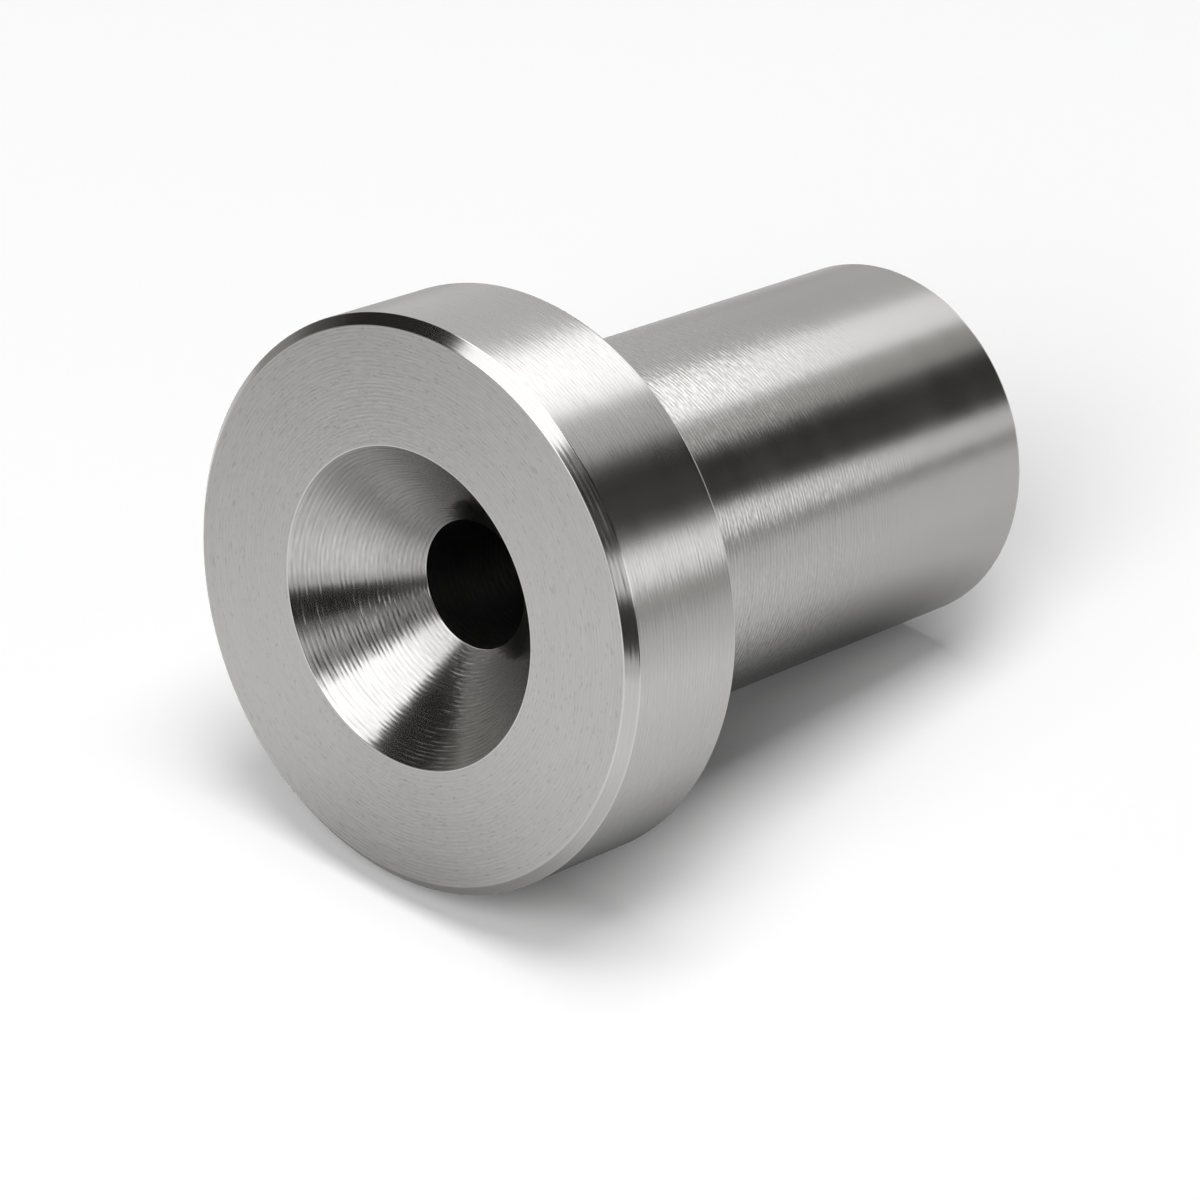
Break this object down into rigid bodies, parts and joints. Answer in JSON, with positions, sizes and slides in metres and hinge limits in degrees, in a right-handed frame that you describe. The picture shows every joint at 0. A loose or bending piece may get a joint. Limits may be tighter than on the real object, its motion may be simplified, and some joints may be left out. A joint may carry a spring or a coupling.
{
  "type": "sprue bushing",
  "caption": "Turned steel bushing with a chamfered flanged head, a conical nozzle seat and a tapered sprue bore through a plain shank.",
  "frame": {"origin": "centre of the tip face, the end that meets the mould cavity", "axes": "+Z along the turning axis from the tip to the head"},
  "size_m": [0.038, 0.038, 0.0475],
  "materials": {
    "tool_steel": "fine turned, bright"
  },
  "bodies": {
    "root": {"sprue_bushing": "tool_steel"}
  },
  "joints": []
}
